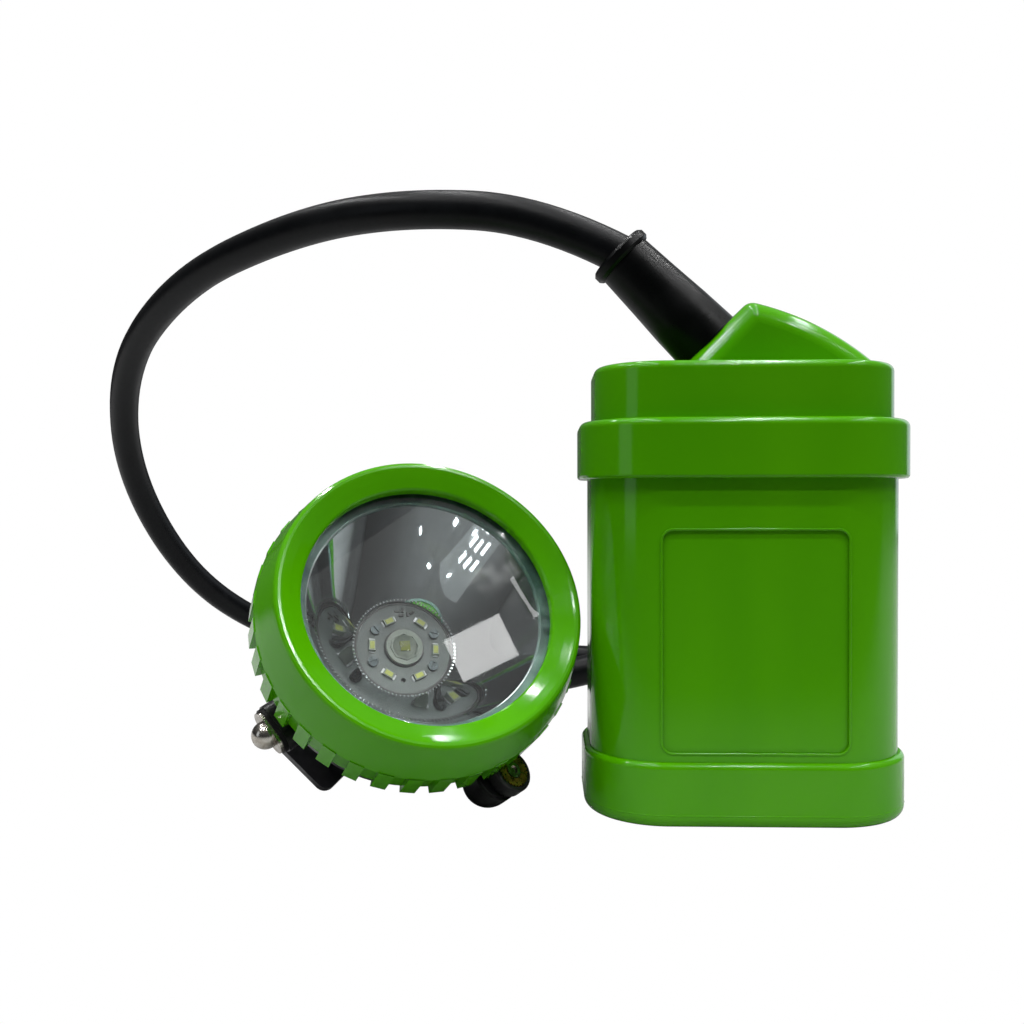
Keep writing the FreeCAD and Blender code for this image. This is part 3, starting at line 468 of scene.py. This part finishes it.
# the mirror: a true parabola, from its flange under the gasket down to the hole round the board
RIM_RADIUS, RIM_DEPTH, HOLE_RADIUS, HOLE_DEPTH, MIRROR_WALL = 24.0, 5.3, 10.9, 24.8, 0.9
FLANGE_RADIUS, FLANGE_THICK, BOWL_STEPS, MIRROR_SEGMENTS = 28.4, 0.9, 56, 240
LIP_OUT, LIP_IN, LIP_DROP = 0.25, 0.07, 0.03  # the soft edge between flange and bowl
FOUR_F = (RIM_RADIUS**2 - HOLE_RADIUS**2) / (HOLE_DEPTH - RIM_DEPTH)
VERTEX = -HOLE_DEPTH - HOLE_RADIUS**2 / FOUR_F
bowl = [
    (r, VERTEX + r * r / FOUR_F)
    for r in (RIM_RADIUS + (HOLE_RADIUS - RIM_RADIUS) * k / BOWL_STEPS for k in range(BOWL_STEPS + 1))
]
back = []
for r, z in bowl[::4]:
    slope = 2 * r / FOUR_F
    off = MIRROR_WALL / math.hypot(slope, 1)
    back.append((r + off * slope, z - off))
back[-1] = (back[-1][0], bowl[-1][1])
flange_low = -RIM_DEPTH - FLANGE_THICK
profile = [
    (FLANGE_RADIUS, -RIM_DEPTH),
    (RIM_RADIUS + LIP_OUT, -RIM_DEPTH),
    (RIM_RADIUS + LIP_IN, -RIM_DEPTH - LIP_DROP),
]
profile += bowl + back[::-1][:-1] + [(back[0][0] + 0.1, flange_low), (FLANGE_RADIUS, flange_low)]
mirror_mesh = lathe(profile, MIRROR_SEGMENTS)
add_piece("mirror_bowl", mirror_mesh, "mirror", frame_at=HEAD, replaces=["reflector"])

# fine teeth moulded round the foot of the mirror
teeth = bmesh.new()
TOOTH_COUNT, TOOTH_RADIUS, TOOTH_LONG, TOOTH_WIDE = 84, 11.35, 0.8, 0.36
TOOTH_SUNK, TOOTH_PROUD = 0.3, 0.06
foot = VERTEX + TOOTH_RADIUS * TOOTH_RADIUS / FOUR_F
for k in range(TOOTH_COUNT):
    a = 2 * math.pi * k / TOOTH_COUNT
    at = (TOOTH_RADIUS * math.cos(a), TOOTH_RADIUS * math.sin(a))
    slab(teeth, TOOTH_LONG, TOOTH_WIDE, foot - TOOTH_SUNK, foot + TOOTH_PROUD, at, a, inset=0.06)
add_piece("mirror_teeth", teeth, "mirror", frame_at=HEAD)

# the LED board's small parts; heights are over the board's face, and feet are sunk into it
BOARD_TOP, FOOT_SUNK = -25.2, 0.02
WINDOW_LOW, WINDOW_TOP, PAD_OUT, PAD_TOP, CHIP_TOP = 0.66, 0.74, 1.42, 0.14, 0.32
# degrees round the board, and radius
AUX_LEDS = [(51, 7.2), (112, 6.8), (172.5, 7.05), (352.3, 7.0), (234, 7.1), (290, 7.05)]
windows, pads = bmesh.new(), bmesh.new()
for degrees, radius in AUX_LEDS:
    a = math.radians(degrees)
    at = (radius * math.cos(a), radius * math.sin(a))
    slab(windows, 1.0, 1.75, BOARD_TOP + WINDOW_LOW, BOARD_TOP + WINDOW_TOP, at, a, inset=0.05)
    for side in (-1, 1):
        pad_at = (at[0] - side * PAD_OUT * math.sin(a), at[1] + side * PAD_OUT * math.cos(a))
        slab(pads, 1.3, 0.5, BOARD_TOP - FOOT_SUNK, BOARD_TOP + PAD_TOP, pad_at, a, inset=0.1)
add_piece("aux_windows", windows, "phosphor", frame_at=HEAD)
add_piece("aux_pads", pads, "steel", frame_at=HEAD)
chips = bmesh.new()
CHIPS = ((-0.4, 8.7, 0.1), (0.9, 8.9, 1.4), (0.4, 7.7, 0.0), (1.9, 7.9, 1.5), (2.9, 8.2, 0.6))
for x, y, turn in CHIPS:
    slab(chips, 1.0, 0.5, BOARD_TOP - FOOT_SUNK, BOARD_TOP + CHIP_TOP, (x, y), turn, inset=0.06)
add_piece("board_chips", chips, "black", frame_at=HEAD)
# painted shade: a black ring fills the gap between the board and the mirror's hole and stands in for the
# shade in that gap
GAP_SHADE_IN, GAP_SHADE_OUT, GAP_SHADE_LOW, GAP_SHADE_TOP = 10.36, 10.84, BOARD_TOP - 0.6, BOARD_TOP + 0.1
gap_shade_profile = [(GAP_SHADE_IN, GAP_SHADE_LOW), (GAP_SHADE_OUT, GAP_SHADE_LOW), (GAP_SHADE_OUT, GAP_SHADE_TOP), (GAP_SHADE_IN, GAP_SHADE_TOP)]
add_piece("board_gap_shade", lathe(gap_shade_profile, 128), "black", frame_at=HEAD)
RING_IN, RING_OUT, RING_LOW, RING_TOP = 4.07, 4.42, BOARD_TOP - FOOT_SUNK, BOARD_TOP + 0.42
led_ring = [
    (RING_IN, RING_LOW), (RING_OUT, RING_LOW), (RING_OUT, BOARD_TOP + 0.3), (4.3, RING_TOP),
    (RING_IN, RING_TOP),
]  # fmt: skip
add_piece("led_ring", lathe(led_ring, 96), "black", frame_at=HEAD)
LED_TOP = BOARD_TOP + 0.9
led_frame = [
    (2.78, LED_TOP - 0.02), (3.3, LED_TOP - 0.02), (3.2, LED_TOP + 0.22), (2.9, LED_TOP + 0.26),
    (2.78, LED_TOP + 0.1),
]  # fmt: skip
add_piece("led_frame", lathe(led_frame, 8, smooth_from=60), "package", frame_at=HEAD)

# thin moulded bead round the label panel, and the mould line round the base
PANEL_WIDE, PANEL_HIGH, PANEL_MID, PANEL_ROUND, CASE_FRONT = 36.2, 43.6, 36.3, 2.2, -21.0
BASE_WIDE, BASE_DEEP, BASE_ROUND, FLASH_HIGH = 65.5, 44.5, 16.15, 2.6
CORNER_STEPS, BEAD_STEPS = 10, 8
BEAD_OUT, BEAD_SUNK, FLASH_SUNK = 0.1, 0.04, 0.03


def rounded_path(width, height, radius):
    """Points round a rounded rectangle, anticlockwise, with their outward directions."""
    points = []
    for cx, cy, start in ((1, 1, 0), (-1, 1, 90), (-1, -1, 180), (1, -1, 270)):
        middle = (cx * (width / 2 - radius), cy * (height / 2 - radius))
        for k in range(CORNER_STEPS + 1):
            a = math.radians(start + 90 * k / CORNER_STEPS)
            out = (math.cos(a), math.sin(a))
            points.append(((middle[0] + radius * out[0], middle[1] + radius * out[1]), out))
    return points


def bead(path, half_width, rise, place):
    """A low half-round bead along path; place(x, y, out, across, up) gives each point in mm."""
    bm = bmesh.new()
    rings = []
    for (x, y), out in path:
        ring = []
        for k in range(BEAD_STEPS + 1):
            a = math.pi * k / BEAD_STEPS
            ring.append(bm.verts.new(place(x, y, out, half_width * math.cos(a), rise * math.sin(a))))
        rings.append(ring)
    for one, two in zip(rings, rings[1:] + rings[:1]):
        for k in range(BEAD_STEPS + 1):
            n = (k + 1) % (BEAD_STEPS + 1)
            bm.faces.new((one[k], one[n], two[n], two[k])).smooth = k < BEAD_STEPS
    return bm


def on_panel(x, y, out, across, up):
    """The bead stands on the case's front, just outside the panel's edge."""
    across += BEAD_OUT
    return x + out[0] * across, CASE_FRONT + BEAD_SUNK - up, PANEL_MID + y + out[1] * across


def on_base(x, y, out, across, up):
    """The flash line stands out from the foot cup's side."""
    return x + out[0] * (up - FLASH_SUNK), y + out[1] * (up - FLASH_SUNK), FLASH_HIGH + across


panel_path = rounded_path(PANEL_WIDE, PANEL_HIGH, PANEL_ROUND)
add_piece("panel_bead", bead(panel_path, 0.26, 0.2, on_panel), "green")
base_path = rounded_path(BASE_WIDE, BASE_DEEP, BASE_ROUND)
add_piece("base_flash", bead(base_path, 0.16, 0.1, on_base), "green")

# ---------------------------------------------------------------- stage and light
def camera_white(tree, surface_or_colour, mix_kind, white, output):
    """What the camera sees direct is plain white; every other ray meets surface_or_colour."""
    path = tree.nodes.new("ShaderNodeLightPath")
    mix = tree.nodes.new(mix_kind)
    if mix_kind == "ShaderNodeMix":
        mix.data_type = "RGBA"
        ends = (mix.inputs[0], mix.inputs[6], mix.inputs[7], mix.outputs[2])
    else:
        ends = (mix.inputs[0], mix.inputs[1], mix.inputs[2], mix.outputs[0])
    tree.links.new(path.outputs["Is Camera Ray"], ends[0])
    tree.links.new(surface_or_colour, ends[1])
    tree.links.new(white, ends[2])
    tree.links.new(ends[3], output)


FLOOR_HALF, FLOOR_DARK_TO, FLOOR_PALE_FROM = 6.0, -0.16, -0.04  # m, the last two along y
FLOOR_DARK, FLOOR_PALE = (0.02, 0.02, 0.02, 1), (0.5, 0.5, 0.5, 1)


def floor():
    """Pale table under the lamp, black in front of it; the camera sees it as plain white."""
    mesh = bpy.data.meshes.new("floor")
    bm = bmesh.new()
    bmesh.ops.create_grid(bm, x_segments=24, y_segments=24, size=FLOOR_HALF)
    bm.to_mesh(mesh)
    bm.free()
    obj = bpy.data.objects.new("floor", mesh)
    scene.collection.objects.link(obj)
    f = Finish("floor", FLOOR_PALE, 0.8)
    split = f.new("ShaderNodeSeparateXYZ")
    f.link(f.coords.outputs["Object"], split.inputs[0])
    depth = f.ranged(split.outputs["Y"], FLOOR_DARK_TO, FLOOR_PALE_FROM, 0, 1)
    f.base(f.colours(depth, (0.0, FLOOR_DARK), (1.0, FLOOR_PALE)))
    glow = f.new("ShaderNodeEmission")
    surface = f.output.inputs["Surface"]
    camera_white(f.tree, f.shader.outputs[0], "ShaderNodeMixShader", glow.outputs[0], surface)
    dress(obj, f.material)


def lamp(name, place, target, power, size, colour=(1, 1, 1)):
    """A soft area lamp of size (width, height) in metres, aimed at target."""
    data = bpy.data.lights.new(name, "AREA")
    data.energy, data.color = power, colour
    data.shape = "RECTANGLE"
    data.size, data.size_y = size
    obj = bpy.data.objects.new(name, data)
    scene.collection.objects.link(obj)
    obj.location = place
    obj.rotation_mode = "QUATERNION"
    obj.rotation_quaternion = (Vector(target) - Vector(place)).to_track_quat("-Z", "Y")


SKY_AXIS = (0.22, 0.20, 0.955)
# (cosine of the angle from the axis, grey level)
SKY = [(-0.4, 0.02), (0.0, 0.05), (0.3, 0.10), (0.6, 0.22), (1.0, 0.34)]


def studio_world():
    """Bright overhead and a little to the back and right, dark towards the front."""
    world = bpy.data.worlds.new("studio")
    scene.world = world
    world.use_nodes = True
    tree = world.node_tree
    coords = tree.nodes.new("ShaderNodeTexCoord")
    lean = tree.nodes.new("ShaderNodeVectorMath")
    lean.operation = "DOT_PRODUCT"
    lean.inputs[1].default_value = SKY_AXIS
    tree.links.new(coords.outputs["Generated"], lean.inputs[0])
    half = tree.nodes.new("ShaderNodeMath")
    half.operation = "MULTIPLY_ADD"
    half.inputs[1].default_value, half.inputs[2].default_value = 0.5, 0.5
    tree.links.new(lean.outputs["Value"], half.inputs[0])
    ramp = tree.nodes.new("ShaderNodeValToRGB")
    tree.links.new(half.outputs[0], ramp.inputs["Fac"])
    set_stops(ramp, *((height / 2 + 0.5, (level, level, level, 1)) for height, level in SKY))
    white = tree.nodes.new("ShaderNodeRGB")
    white.outputs[0].default_value = (1, 1, 1, 1)
    background = tree.nodes["Background"].inputs["Color"]
    camera_white(tree, ramp.outputs["Color"], "ShaderNodeMix", white.outputs[0], background)


floor()
studio_world()
CEILING_START, CEILING_STEP, CEILING_HIGH = (-0.75, -0.9), (0.5, 0.45), 1.25
for column in range(4):
    for row in range(4):
        x = CEILING_START[0] + CEILING_STEP[0] * column
        y = CEILING_START[1] + CEILING_STEP[1] * row
        lamp(f"ceiling_{column}{row}", (x, y, CEILING_HIGH), (x, y, 0), 2.5, (0.075, 0.045))
SUBJECT = (-0.06, -0.02, 0.04)
WINDOW_AT, WINDOW_STEP = Vector((0.89, -0.51, 1.05)), 0.16
WINDOW_ACROSS, WINDOW_UP = Vector((-0.3, -0.9, -0.1)), Vector((-0.6, 0.1, 0.8))
for column in range(3):
    for row in range(3):
        place = WINDOW_AT + WINDOW_ACROSS * WINDOW_STEP * (column - 1)
        place += WINDOW_UP * WINDOW_STEP * (row - 1)
        lamp(f"window_{column}{row}", place, SUBJECT, 0.14, (0.1, 0.075))
lamp("wall_card", WINDOW_AT * 1.25, SUBJECT, 0.9, (1.2, 0.9))
lamp("left_card", (-0.62, -0.42, 0.22), (-0.06, 0, 0.05), 0.3, (0.25, 0.4), (0.86, 0.92, 1.0))
lamp("right_card", (0.75, 0.9, 0.4), (0.0, 0, 0.06), 1.2, (0.5, 0.8), (0.82, 0.9, 1.0))
